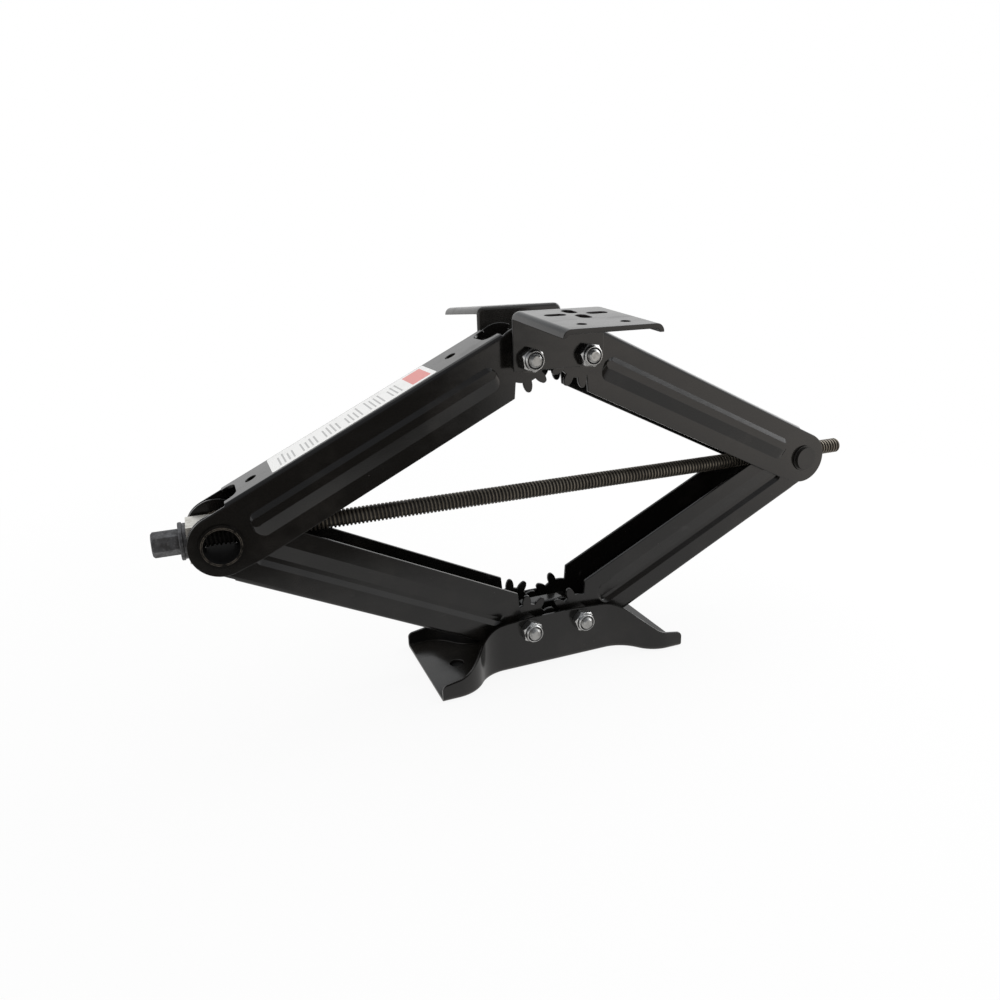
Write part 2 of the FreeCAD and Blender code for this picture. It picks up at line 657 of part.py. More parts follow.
def lockNut(name, x, z, wall, turn):
    """Hexagon with the round collar of a prevailing torque nut."""
    reach = sizes[wall]
    body = chamferedHexagon(name + "_hexagon", "Sizes.nutHeight - Sizes.nutCollarHeight",
                            Vector(x, -reach, z), acrossY, turn)
    collar = cone(name + "_collar", "Sizes.wrenchSize * 0.46", "Sizes.wrenchSize * 0.4",
                  "Sizes.nutCollarHeight", Vector(x, -reach - s.nutHeight + s.nutCollarHeight, z), acrossY)
    bore = cylinder(name + "_bore", "Sizes.boltRadius + Sizes.seatGap",
                    "Sizes.nutHeight + %g" % (2 * overcut), Vector(x, -reach + overcut, z), acrossY)
    return cut(name, fuse(name + "_solid", [body, collar]), bore)


def tube(name, outer, bore, length, base, rotation):
    """Plain tube from two cylinders; the bore runs a little beyond both ends."""
    solid = cylinder(name + "_outside", outer, length, base, rotation)
    axis = rotation.multVec(Vector(0, 0, overcut))
    hole = cylinder(name + "_inside", bore, "%s + %g" % (length, 2 * overcut), base - axis, rotation)
    return cut(name, solid, hole)


def pivotSet(prefix, z, wall, wallSheet, armHalf):
    """Two bolts with their nuts, sleeves and spacer rings at one pair of pivots."""
    bolts, nuts, sleeves, rings = [], [], [], []
    innerY = sizes[wall] - sizes[wallSheet]
    inside = "(Sizes.%s - Sizes.%s)" % (wall, wallSheet)
    gap = "(%s - Sizes.%s - 2 * Sizes.ringGap)" % (inside, armHalf)
    for hand, x, turn in (("left", -s.pivotOffset, 8.0), ("right", s.pivotOffset, 21.0)):
        name = prefix + "_" + hand
        bolts.append(hexBolt(name + "_bolt", x, z, wall))
        nuts.append(lockNut(name + "_nut", x, z, wall, turn))
        sleeves.append(tube(name + "_sleeve", "Sizes.sleeveRadius", "Sizes.sleeveBore",
                            "2 * " + inside, Vector(x, innerY, z), acrossY))
        for where, y in (("near", -sizes[armHalf] - s.ringGap), ("far", innerY - s.ringGap)):
            rings.append(tube(name + "_ring_" + where, "Sizes.ringRadius",
                              "Sizes.sleeveRadius + Sizes.ringBoreGap", gap, Vector(x, y, z), acrossY))
    return (group(prefix + "_pivot_bolts", bolts), group(prefix + "_lock_nuts", nuts),
            group(prefix + "_pivot_sleeves", sleeves), group(prefix + "_spacer_rings", rings))


baseSet = pivotSet("base", s.pivotHeight, "baseWaistHalfWidth", "baseSheet", "lowerHalfWidth")
headSet = pivotSet("head", upperPivotZ, "bracketWallY", "bracketSheet", "upperHalfWidth")


# Left knuckle: hollow trunnion with staked rims, thrust block and washer
leftX = -knuckleX
rimStart = s.upperHalfWidth + s.sideGap
rimEnd = rimStart + s.tubeRimThickness
tubeBarrel = cylinder("trunnion_barrel", "Sizes.tubeRadius",
                      "2 * (Sizes.upperHalfWidth + Sizes.sideGap + Sizes.tubeRimThickness)",
                      Vector(leftX, rimEnd, screwZ), acrossY)
tubeRims = []
for where, y in (("near", -rimStart), ("far", rimEnd)):
    tubeRims.append(cylinder("trunnion_rim_" + where, "Sizes.tubeRimRadius", "Sizes.tubeRimThickness",
                             Vector(leftX, y, screwZ), acrossY))
tubeSolid = fuse("trunnion_solid", [tubeBarrel] + tubeRims)
tubeHollow = cylinder("trunnion_hollow", "Sizes.tubeBore", "4 * Sizes.upperHalfWidth",
                      Vector(leftX, 2 * s.upperHalfWidth, screwZ), acrossY)
tubeOpen = cut("trunnion_open", tubeSolid, tubeHollow)
tubeScrewHole = cylinder("trunnion_screw_hole", "Sizes.screwHoleRadius", "4 * Sizes.tubeRadius",
                         Vector(leftX - 2 * s.tubeRadius, 0, screwZ), alongX)
driveTrunnion = cut("drive_trunnion", tubeOpen, tubeScrewHole)

blockBlank = doc.addObject("Part::Box", "thrust_block_blank")
bind(blockBlank, Length="Sizes.blockDepth", Width="2 * Sizes.blockHalfWidth",
     Height="2 * Sizes.blockHalfHeight")
blockBlank.Placement = Placement(
    Vector(leftX - s.blockFace, -s.blockHalfWidth, screwZ - s.blockHalfHeight), Rotation())
blockSaddle = cylinder("thrust_block_saddle", "Sizes.tubeRadius + Sizes.seatGap", "4 * Sizes.blockHalfWidth",
                       Vector(leftX, 2 * s.blockHalfWidth, screwZ), acrossY)
blockHole = cylinder("thrust_block_hole", "Sizes.screwHoleRadius", "2 * Sizes.blockFace",
                     Vector(leftX - 1.5 * s.blockFace, 0, screwZ), alongX)
thrustBlock = cut("thrust_block", cut("thrust_block_seat", blockBlank, blockSaddle), blockHole)

washerX = leftX - s.blockFace - s.thrustWasherThickness
thrustWasher = tube("thrust_washer", "Sizes.thrustWasherRadius", "Sizes.spigotRadius + Sizes.ringBoreGap",
                    "Sizes.thrustWasherThickness", Vector(washerX, 0, screwZ), alongX)

# Lead screw with its drive head and retaining collar
shoulderX = leftX - s.blockFace
screwEndX = knuckleX + s.screwRight
headX = leftX - s.screwLeft
screwLength = "2 * (Sizes.pivotOffset + Sizes.armLength * cos(Sizes.restAngle * 1 deg))"
threadBar = cylinder("screw_bar", "Sizes.screwRadius",
                     screwLength + " + Sizes.blockFace + Sizes.screwRight - Sizes.screwTipTaper",
                     Vector(shoulderX, 0, screwZ), alongX)
threadTip = cone("screw_tip", "Sizes.screwRadius", "Sizes.screwRadius - Sizes.screwTipTaper",
                 "Sizes.screwTipTaper", Vector(screwEndX - s.screwTipTaper, 0, screwZ), alongX)
spigotReach = s.screwLeft - s.spigotStop - s.blockFace
spigot = cylinder("screw_spigot", "Sizes.spigotRadius",
                  "Sizes.screwLeft - Sizes.spigotStop - Sizes.blockFace",
                  Vector(shoulderX - spigotReach, 0, screwZ), alongX)
leadScrew = fuse("lead_screw", [threadBar, threadTip, spigot])

headFlange = cylinder("head_flange", "Sizes.headFlangeRadius", "Sizes.headFlangeThickness",
                      Vector(washerX, 0, screwZ), alongMinusX)
headHexagon = chamferedHexagon("head_hexagon",
                               "Sizes.screwLeft - Sizes.blockFace - Sizes.thrustWasherThickness",
                               Vector(washerX, 0, screwZ), alongMinusX, 14.0)
headBore = cylinder("head_bore", "Sizes.spigotRadius + Sizes.seatGap", "Sizes.screwLeft",
                    Vector(shoulderX - spigotReach, 0, screwZ), alongX)
driveHead = cut("drive_head", fuse("head_solid", [headFlange, headHexagon]), headBore)

collarX = leftX + s.tubeRadius + s.collarGap
screwCollar = tube("screw_collar", "Sizes.collarRadius", "Sizes.screwRadius + Sizes.seatGap",
                   "Sizes.collarLength", Vector(collarX, 0, screwZ), alongX)

# Right knuckle: solid trunnion with the screw thread through it
trunnionBody = cylinder("nut_trunnion_body", "Sizes.trunnionRadius", "2 * Sizes.trunnionHalfBody",
                        Vector(knuckleX, s.trunnionHalfBody, screwZ), acrossY)
headStart = s.upperHalfWidth + s.sideGap + s.trunnionWasherThickness
headEnd = headStart + s.trunnionHeadThickness
headReach = ("2 * (Sizes.upperHalfWidth + Sizes.sideGap + Sizes.trunnionWasherThickness"
             " + Sizes.trunnionHeadThickness)")
journal = cylinder("nut_trunnion_journal", "Sizes.journalRadius", headReach,
                   Vector(knuckleX, headEnd, screwZ), acrossY)
stakes = []
for where, y in (("near", -headStart), ("far", headEnd)):
    stakes.append(cylinder("nut_trunnion_head_" + where, "Sizes.trunnionHeadRadius",
                           "Sizes.trunnionHeadThickness", Vector(knuckleX, y, screwZ), acrossY))
trunnionSolid = fuse("nut_trunnion_solid", [trunnionBody, journal] + stakes)
trunnionThread = cylinder("nut_trunnion_thread", "Sizes.screwHoleRadius", "4 * Sizes.trunnionRadius",
                          Vector(knuckleX - 2 * s.trunnionRadius, 0, screwZ), alongX)
nutTrunnion = cut("nut_trunnion", trunnionSolid, trunnionThread)
washers = []
for where, y in (("near", -rimStart), ("far", headStart)):
    washers.append(tube("trunnion_washer_" + where, "Sizes.trunnionWasherRadius",
                        "Sizes.journalRadius + Sizes.ringBoreGap", "Sizes.trunnionWasherThickness",
                        Vector(knuckleX, y, screwZ), acrossY))
trunnionWashers = group("trunnion_washers", washers)

# Blank label on the upper left arm
label = doc.addObject("Part::Box", "blank_label")
bind(label, Length="Sizes.labelLength", Width="2 * Sizes.labelHalfWidth", Height="Sizes.labelThickness")
labelSeat = armPlacement(-1, 1)
label.Placement = labelSeat.multiply(
    Placement(Vector(s.labelStart, -s.labelHalfWidth, s.webOffset), Rotation()))

doc.recompute()

# Every piece is checked and written to its own file
pieces = arms + [baseBody, spacerBody, frontBracket, rearBracket] + list(baseSet) + list(headSet)
pieces += [driveTrunnion, thrustBlock, thrustWasher, leadScrew, driveHead, screwCollar]
pieces += [nutTrunnion, trunnionWashers, label]
for thing in doc.Objects:
    if "Invalid" in thing.State or "Error" in thing.State:
        raise RuntimeError("%s did not recompute: %s" % (thing.Label, thing.State))
for piece in pieces:
    shape = piece.Shape
    if shape.isNull() or not shape.isValid():
        raise RuntimeError("%s has no sound shape" % piece.Label)
    shape.exportStep("parts/%s.step" % piece.Label)
    print("%-24s solids %d volume %10.1f" % (piece.Label, len(shape.Solids), shape.Volume))
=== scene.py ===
import json
import math

import bmesh
import bpy
from mathutils import Matrix, Vector


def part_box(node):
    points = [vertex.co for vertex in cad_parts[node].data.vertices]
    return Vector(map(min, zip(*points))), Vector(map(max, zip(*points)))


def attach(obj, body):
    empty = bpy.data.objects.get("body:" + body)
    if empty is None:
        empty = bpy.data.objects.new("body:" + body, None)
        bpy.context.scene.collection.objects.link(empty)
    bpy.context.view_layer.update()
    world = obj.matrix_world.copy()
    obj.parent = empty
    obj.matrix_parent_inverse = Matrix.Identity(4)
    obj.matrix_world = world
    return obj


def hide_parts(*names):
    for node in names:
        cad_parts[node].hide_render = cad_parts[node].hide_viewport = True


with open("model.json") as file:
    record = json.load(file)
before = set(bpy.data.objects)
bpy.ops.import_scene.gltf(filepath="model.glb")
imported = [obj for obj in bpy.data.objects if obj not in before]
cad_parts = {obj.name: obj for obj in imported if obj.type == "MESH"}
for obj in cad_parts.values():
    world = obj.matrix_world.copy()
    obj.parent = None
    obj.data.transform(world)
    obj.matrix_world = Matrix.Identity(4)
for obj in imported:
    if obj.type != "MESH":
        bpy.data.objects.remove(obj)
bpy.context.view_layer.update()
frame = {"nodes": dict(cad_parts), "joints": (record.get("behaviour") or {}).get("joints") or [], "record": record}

# Scissor stabilizer jack: finishes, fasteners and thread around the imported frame.
# Metres throughout, in the frame's own axes: X along the lead screw, Z up.
nodes = frame["nodes"]
joints = {joint["name"]: joint for joint in frame["joints"]}
leftKnuckle = Vector(joints["left_fold"]["pos_m"])
rightKnuckle = Vector(joints["right_knuckle_turn"]["pos_m"])
basePivot = Vector(joints["lift"]["pos_m"])
headPivot = Vector(joints["head_level"]["pos_m"])
alongX = Vector((1, 0, 0))
alongY = Vector((0, 1, 0))
alongZ = Vector((0, 0, 1))
bodyOf = {node: body for body, members in frame["record"]["behaviour"]["bodies"].items()
          for node in members}
mergeDistance = 1e-6
cutDistance = 1e-7
nearFlat = 0.3              # degrees between faces that count as one
sharpFold = 50.0            # degrees between faces that meet at a cut edge
hexFold = 70.0              # a hexagon's sides meet at less than this
hexSmooth = 26.0            # hexagonal pieces are shaded smooth below this
hexSteps = 72               # steps of a turn that put a ring on each corner and each flat
rodSteps = 32
headSteps = (0.33, 0.67, 1.0)       # shares of a coned end where its outline has a point
nutSteps = (0.34, 0.67, 1.0)


# Materials
class Wire:
    # one socket of a shader, with the sums that are done on it
    def __init__(self, finish, socket):
        self.finish = finish
        self.socket = socket

    def sum(self, operation, *terms):
        inputs = {place: term for place, term in enumerate(terms)}
        return self.finish.wire("ShaderNodeMath", {"operation": operation}, inputs)

    def __add__(self, other):
        return self.sum("ADD", self, other)

    def __radd__(self, other):
        return self.sum("ADD", other, self)

    def __sub__(self, other):
        return self.sum("SUBTRACT", self, other)

    def __rsub__(self, other):
        return self.sum("SUBTRACT", other, self)

    def __mul__(self, other):
        return self.sum("MULTIPLY", self, other)

    def __rmul__(self, other):
        return self.sum("MULTIPLY", other, self)

    def __truediv__(self, other):
        return self.sum("DIVIDE", self, other)

    def __gt__(self, other):
        return self.sum("GREATER_THAN", self, other)

    def __lt__(self, other):
        return self.sum("LESS_THAN", self, other)

    def power(self, exponent):
        return self.sum("POWER", self, exponent)

    def size(self):
        return self.sum("ABSOLUTE", self)

    def ramp(self, low, high):
        # rises from 0 to 1 between two values, smooth at both ends
        settings = {"interpolation_type": "SMOOTHSTEP"}
        return self.finish.wire("ShaderNodeMapRange", settings,
                                {"Value": self, "From Min": low, "From Max": high})


class Finish:
    # a material under construction
    def __init__(self, name):
        self.material = bpy.data.materials.new(name)
        self.material.use_nodes = True
        self.tree = self.material.node_tree
        self.surface = self.tree.nodes["Principled BSDF"]
        self.place = self.wire("ShaderNodeTexCoord", output="Object")

    def node(self, kind, settings=None, inputs=None):
        made = self.tree.nodes.new(kind)
        for name, value in (settings or {}).items():
            setattr(made, name, value)
        for name, value in (inputs or {}).items():
            self.feed(made.inputs[name], value)
        return made

    def feed(self, socket, value):
        if isinstance(value, Wire):
            self.tree.links.new(value.socket, socket)
        else:
            socket.default_value = value

    def wire(self, kind, settings=None, inputs=None, output=0):
        return Wire(self, self.node(kind, settings, inputs).outputs[output])

    def noise(self, size, detail=3.0, roughness=0.5, stretch=None):
        # cloudy pattern whose spots are about this many metres across
        place = self.place
        if stretch is not None:
            place = self.wire("ShaderNodeVectorMath", {"operation": "MULTIPLY"}, {0: place, 1: stretch})
        return self.wire("ShaderNodeTexNoise", {}, {"Vector": place, "Scale": 1.0 / size,
                                                    "Detail": detail, "Roughness": roughness})

    def grains(self, size):
        # distance to the nearest of many scattered points
        return self.wire("ShaderNodeTexVoronoi", {}, {"Vector": self.place, "Scale": 1.0 / size})

    def dot(self, direction, origin=(0, 0, 0)):
        # distance along a direction from a point
        moved = self.wire("ShaderNodeVectorMath", {"operation": "SUBTRACT"},
                          {0: self.place, 1: tuple(origin)})
        return self.wire("ShaderNodeVectorMath", {"operation": "DOT_PRODUCT"},
                         {0: moved, 1: tuple(direction)}, "Value")

    def blend(self, share, first, second):
        # a colour between two colours
        def shade(value):
            return value if isinstance(value, Wire) else (*value, 1.0)
        return self.wire("ShaderNodeMix", {"data_type": "RGBA"},
                         {0: share, 6: shade(first), 7: shade(second)}, 2)

    def relief(self, height, depth, strength=1.0):
        # bump of this many metres, added to what is there already
        inputs = {"Height": height, "Distance": depth, "Strength": strength}
        linked = self.surface.inputs["Normal"].links
        if linked:
            inputs["Normal"] = Wire(self, linked[0].from_socket)
        self.feed(self.surface.inputs["Normal"], self.wire("ShaderNodeBump", {}, inputs))

    def set(self, values):
        for name, value in values.items():
            if name == "Base Color" and not isinstance(value, Wire):
                value = (*value, 1.0)
            self.feed(self.surface.inputs[name], value)
        return self.material


# shadow is painted shade inside the left knuckle's hole, lip a painted highlight on its rim
paint = {"colour": (0.0037, 0.0034, 0.0030), "haze": (0.0120, 0.0106, 0.0092), "gloss": 0.15,
         "dust": (0.10, 0.092, 0.082), "rub": (0.030, 0.029, 0.028),
         "peel": 0.0021, "peelDepth": 0.000012, "wave": 0.024, "waveDepth": 0.00007, "speckDepth": 0.00004,
         "footHeight": 0.0050, "bore": 0.01475, "shadow": (0.0012, 0.0011, 0.0010),
         "lip": (0.075, 0.064, 0.052), "innerLip": 0.00025, "outerLip": 0.0014, "lipHalf": 0.0003}


def blackPaint(name, worn=0.0, gloss=paint["gloss"], film=0.0, bore=0.0, foot=0.0):
    # glossy black dip paint: faint orange peel, brownish haze, dull smears and a few specks of dust;
    # worn is how much steel rubs through, film the share of dust over all of it, foot the height
    # below which more dust lies, bore the radius round the left knuckle inside which painted shade
    # darkens the hole, with a painted highlight on its rim
    finish = Finish(name)
    haze = finish.noise(0.050, 4.0, 0.6).ramp(0.48, 0.78)
    smears = finish.noise(0.018, 5.0, 0.65, (0.4, 1.0, 1.0)).ramp(0.40, 0.80)
    speck = finish.grains(0.0062).ramp(0.10, 0.04) * finish.noise(0.030).ramp(0.58, 0.72)
    colour = finish.blend(haze, paint["colour"], paint["haze"])
    colour = finish.blend(speck * 0.5, colour, paint["dust"])
    rough = gloss + smears * 0.10 + haze * 0.05 + speck * 0.3
    if film:
        colour = finish.blend(film * (0.7 + haze * 0.6), colour, paint["dust"])
    if foot:
        low = finish.dot(alongZ).ramp(foot, foot * 0.6)
        colour = finish.blend(low * (0.12 + haze * 0.06), colour, paint["dust"])
    if bore:
        along = finish.dot(alongX, leftKnuckle)
        height = finish.dot(alongZ, leftKnuckle)
        radius = (along * along + height * height).power(0.5)
        # painted shade: the inside of the hole is coloured near black
        inside = radius < bore
        colour = finish.blend(inside, colour, paint["shadow"])
        rough = rough + inside * 0.7
        inner = (radius - (bore + paint["innerLip"])).size() < paint["lipHalf"]
        outer = (radius - (bore + paint["outerLip"])).size() < paint["lipHalf"]
        rimRubsAndHighlights = (inner + outer) * finish.noise(0.004, 3.0).ramp(0.30, 0.60)      # painted highlight on the two edges of the staked rim, broken up like rubbed paint
        colour = finish.blend(rimRubsAndHighlights * 0.8, colour, paint["lip"])
    if worn:
        rubs = finish.noise(0.009, 4.0, 0.7, (0.25, 1.0, 1.0)).ramp(0.62, 0.78)
        colour = finish.blend(rubs * worn, colour, paint["rub"])
    finish.relief(finish.noise(paint["peel"], 2.0, 0.5), paint["peelDepth"], 0.8)
    finish.relief(finish.noise(paint["wave"], 2.0), paint["waveDepth"], 0.7)
    finish.relief(speck, paint["speckDepth"], 0.8)
    return finish.set({"Base Color": colour, "Roughness": rough,
                       "Specular IOR Level": 0.25 if bore else 0.5})


def plate(name, colour, dull, roughness, grain=0.0009):
    # plated or machined steel with blotches of duller metal
    finish = Finish(name)
    blotch = finish.noise(0.006, 4.0, 0.6).ramp(0.45, 0.75)
    fine = finish.noise(grain, 3.0, 0.6)
    shade = finish.blend(blotch * 0.75, colour, dull)
    shade = finish.blend(fine.ramp(0.62, 0.8) * 0.35, shade, dull)
    finish.relief(fine, 0.00003, 0.7)
    return finish.set({"Base Color": shade, "Metallic": 1.0,
                       "Roughness": roughness + blotch * 0.14 + fine * 0.08})


forged = {"light": (0.115, 0.115, 0.120), "dark": (0.055, 0.053, 0.053), "pit": (0.20, 0.20, 0.20),
          "pitDepth": 0.00008, "grainDepth": 0.00006}


def darkOxide(name):
    # forged and blackened steel, with scale pits
    finish = Finish(name)
    scale = finish.grains(0.0026).ramp(0.50, 0.15)
    cloud = finish.noise(0.007, 4.0, 0.65).ramp(0.35, 0.7)
    shade = finish.blend(cloud, forged["light"], forged["dark"])
    shade = finish.blend(scale * 0.35, shade, forged["pit"])
    finish.relief(scale, forged["pitDepth"], 0.7)
    finish.relief(finish.noise(0.0011, 3.0), forged["grainDepth"], 0.8)
    return finish.set({"Base Color": shade, "Metallic": 0.75, "Roughness": 0.47 + cloud * 0.15})


# shadow is painted shade on the screw inside the left knuckle's tube, fading in from shadowEdge to shadowFull
oil = {"crest": (0.175, 0.155, 0.125), "dirt": (0.090, 0.078, 0.062), "groove": (0.018, 0.0150, 0.012),
       "shadow": (0.002, 0.0018, 0.0015), "shadowEdge": 0.0165, "shadowFull": 0.0135}


def oiledThread(name, crest, root):
    # rolled thread: rubbed and dirty crests, darker grooves, and painted shade inside the tube
    finish = Finish(name)
    across = finish.dot(alongY, leftKnuckle)
    height = finish.dot(alongZ, leftKnuckle)
    radius = (across * across + height * height).power(0.5)
    # painted shade: the screw darkens inside the tube
    shaded = finish.dot(alongX, leftKnuckle).size().ramp(oil["shadowEdge"], oil["shadowFull"])
    high = radius.ramp(root + 0.35 * (crest - root), crest - 0.1 * (crest - root))
    dirt = finish.noise(0.016, 5.0, 0.65, (0.6, 1.0, 1.0)).ramp(0.35, 0.72)
    rub = finish.blend(dirt, oil["crest"], oil["dirt"])
    shade = finish.blend(high, oil["groove"], rub)
    shade = finish.blend(shaded * 0.93, shade, oil["shadow"])
    finish.relief(finish.noise(0.0012, 3.0), 0.00005, 0.7)
    return finish.set({"Base Color": shade, "Metallic": (0.15 + high * 0.65) * (1.0 - shaded),
                       "Roughness": 0.52 - high * 0.14 + dirt * 0.12 + shaded * 0.35})


def nylon(name):
    finish = Finish(name)
    cloud = finish.noise(0.004, 3.0)
    finish.relief(finish.noise(0.0007), 0.00002, 0.6)
    return finish.set({"Base Color": finish.blend(cloud, (0.020, 0.020, 0.022), (0.045, 0.045, 0.05)),
                       "Roughness": 0.45 + cloud * 0.2})


print("finishes")
finishes = {
    "black_paint": blackPaint("blackPaint"),
    "worn_paint": blackPaint("wornPaint", worn=0.5, gloss=0.17),
    "dull_paint": blackPaint("dullPaint", worn=0.3, gloss=0.38),
    "dusty_paint": blackPaint("dustyPaint", worn=0.3, gloss=0.20, film=0.13),
    "tube_paint": blackPaint("tubePaint", worn=0.2, gloss=0.20, bore=paint["bore"]),
    "base_paint": blackPaint("basePaint", foot=paint["footHeight"]),
    "bolt_steel": plate("boltSteel", (0.42, 0.42, 0.41), (0.17, 0.17, 0.165), 0.27),
    "dark_steel": plate("oiledSteel", (0.10, 0.098, 0.095), (0.035, 0.033, 0.030), 0.34),
    "zinc": plate("zincPlate", (0.56, 0.56, 0.55), (0.24, 0.24, 0.24), 0.22),
    "pale_steel": plate("paleSteel", (0.74, 0.72, 0.67), (0.50, 0.47, 0.42), 0.42, 0.0006),
    "dark_oxide": darkOxide("darkOxide"),
    "nylon": nylon("nylonInsert"),
}


# Mesh helpers
def piece(name, bm, body, material, replaced=(), smooth=32.0):
    # finished mesh that rides on a body and stands for the CAD nodes named
    mesh = bpy.data.meshes.new(name)
    bm.to_mesh(mesh)
    bm.free()
    mesh.polygons.foreach_set("use_smooth", [True] * len(mesh.polygons))
    mesh.set_sharp_from_angle(angle=math.radians(smooth))
    made = bpy.data.objects.new(name, mesh)
    bpy.context.scene.collection.objects.link(made)
    mesh.materials.append(material)
    flat = made.modifiers.new("flatFaces", "WEIGHTED_NORMAL")    # flat faces beside rounded edges
    flat.keep_sharp = True
    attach(made, body)
    if replaced:
        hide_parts(*replaced)


def everything(bm):
    return bm.verts[:] + bm.edges[:] + bm.faces[:]


def vertsOf(made):
    # the vertices among what an operator made
    return [item for item in made["geom"] if isinstance(item, bmesh.types.BMVert)]


def hexCorner(flats):
    return flats / 2 / math.cos(math.pi / 6)


def startSide(turn, axis, zero):
    # direction square to an axis, turned by degrees
    return Matrix.Rotation(math.radians(turn), 3, axis) @ zero


def foldAngle(edge):
    return math.degrees(edge.calc_face_angle(0.0)) if len(edge.link_faces) == 2 else 0.0


def roundEdges(bm, low, high, width, segments, clamp=True):
    # rounds the edges whose faces meet at between two angles, in degrees; the clamp would hold every
    # edge to the width that the shortest one bears
    chosen = [edge for edge in bm.edges if low < foldAngle(edge) <= high]
    bmesh.ops.bevel(bm, geom=chosen, offset=width, offset_type="OFFSET", segments=segments,
                    profile=0.5, affect="EDGES", clamp_overlap=clamp, material=-1)


def dress(node, finish, width, segments=2, shape=None, clamp=True):
    # copy of a CAD node, welded, with its edges rounded as shearing and paint leave them
    bm = bmesh.new()
    bm.from_mesh(nodes[node].data)
    bmesh.ops.remove_doubles(bm, verts=bm.verts, dist=mergeDistance)
    bmesh.ops.dissolve_limit(bm, angle_limit=math.radians(nearFlat), verts=bm.verts, edges=bm.edges)
    roundEdges(bm, sharpFold, 180.0, width, segments, clamp)
    if shape:
        shape(bm, node)
    piece(node + "_finished", bm, bodyOf[node], finishes[finish], [node])


def turned(bm, profile, centre, axis, steps=48, start=None, closed=False):
    # spins (distance along the axis, radius) pairs into a round skin
    side = start or axis.orthogonal().normalized()
    verts = [bm.verts.new(centre + axis * along + side * radius) for along, radius in profile]
    edges = [bm.edges.new(pair) for pair in zip(verts, verts[1:])]
    if closed:
        edges.append(bm.edges.new((verts[-1], verts[0])))
    bmesh.ops.spin(bm, geom=verts + edges, cent=centre, axis=axis, angle=math.tau,
                   steps=steps, use_merge=True)
    bmesh.ops.remove_doubles(bm, verts=bm.verts, dist=mergeDistance)


def toHexagon(verts, centre, axis, start, flats):
    # pushes a round skin in to six flats; the corners lie 30 degrees off the start direction
    other = axis.cross(start)
    for vert in verts:
        arm = vert.co - centre
        along = arm.dot(axis)
        flat = arm - axis * along
        if flat.length < mergeDistance:
            continue
        turn = math.atan2(flat.dot(other), flat.dot(start))
        reach = flats / 2 / math.cos((turn + math.pi / 6) % (math.pi / 3) - math.pi / 6)
        if flat.length > reach:
            vert.co = centre + axis * along + flat * (reach / flat.length)


def cutAcross(bm, point, normal, clear=False):
    bmesh.ops.bisect_plane(bm, geom=everything(bm), dist=cutDistance, plane_co=point, plane_no=normal,
                           clear_outer=clear)


def thread(bm, centre, axis, length, pitch, crest, root, stepsPerTurn=20, flat=0.32):
    # helical skin from a point along an axis: one turn is wound, then doubled until it is long enough;
    # flat is the share of the pitch that its crest takes, and its groove
    side = axis.orthogonal().normalized()
    slope = (1.0 - 2 * flat) / 2
    profile = [(0.0, root), (flat, root), (flat + slope, crest), (2 * flat + slope, crest), (1.0, root)]
    first = centre - axis * pitch
    verts = [bm.verts.new(first + axis * (share * pitch) + side * radius) for share, radius in profile]
    edges = [bm.edges.new(pair) for pair in zip(verts, verts[1:])]
    bmesh.ops.spin(bm, geom=verts + edges, cent=centre, axis=axis, dvec=axis * (pitch / stepsPerTurn),
                   angle=math.tau, steps=stepsPerTurn, use_merge=False)
    turns = 1
    while turns < length / pitch + 2:
        copy = bmesh.ops.duplicate(bm, geom=everything(bm))
        bmesh.ops.translate(bm, verts=vertsOf(copy), vec=axis * (pitch * turns))
        turns *= 2
    cutAcross(bm, centre + axis * (length + pitch), axis, clear=True)
    bmesh.ops.remove_doubles(bm, verts=bm.verts, dist=2 * mergeDistance)


def trimEnd(bm, point, normal):
    # cuts off what lies beyond a plane and closes the opening
    cutAcross(bm, point, normal, clear=True)
    rim = [edge for edge in bm.edges if edge.is_boundary and
           all(abs((vert.co - point).dot(normal)) < mergeDistance for vert in edge.verts)]
    bmesh.ops.contextual_create(bm, geom=rim)


def ringCuts(bm, centre, axis, places):
    # extra rings of edges across a skin, so that its end can be coned
    for place in places:
        cutAcross(bm, centre + axis * place, axis)


def coneEnd(bm, centre, axis, end, depth, radius, tip):
    # keeps the last stretch of a rod inside a cone
    for vert in bm.verts:
        arm = vert.co - centre
        along = arm.dot(axis)
        flat = arm - axis * along
        share = (along - (end - depth)) / depth
        reach = radius - (radius - tip) * share
        if share > 0 and flat.length > reach:
            vert.co = centre + axis * along + flat * (reach / flat.length)


# Pressed and painted steel
print("painted steel")
rounding = {"arm": 0.0006, "base": 0.0007, "bracket": 0.0005, "spacer": 0.0004, "tube": 0.0004,
            "pin": 0.0006, "washer": 0.0003, "block": 0.0006, "collar": 0.0004, "sleeve": 0.0003}
# The arms' long beads. As the frame has them: half heights at rim and floor, depth, sheet, and reach
# along the arm. As reshaped here: middle and half height of rim and floor, how far the floor stands
# out or in, and the rounding of the folds.
bead = {"rim": 0.0080, "floor": 0.00586, "depth": 0.0015, "wall": 0.0030, "start": 0.0278, "end": 0.2722,
        "upperRim": (-0.0015, 0.0115), "upperFloor": (0.0020, 0.0035),
        "lowerRim": (-0.0022, 0.0108), "lowerFloor": (0.0018, 0.0020),
        "raised": 0.0022, "sunk": 0.0023, "round": 0.0013, "slack": 0.00001}


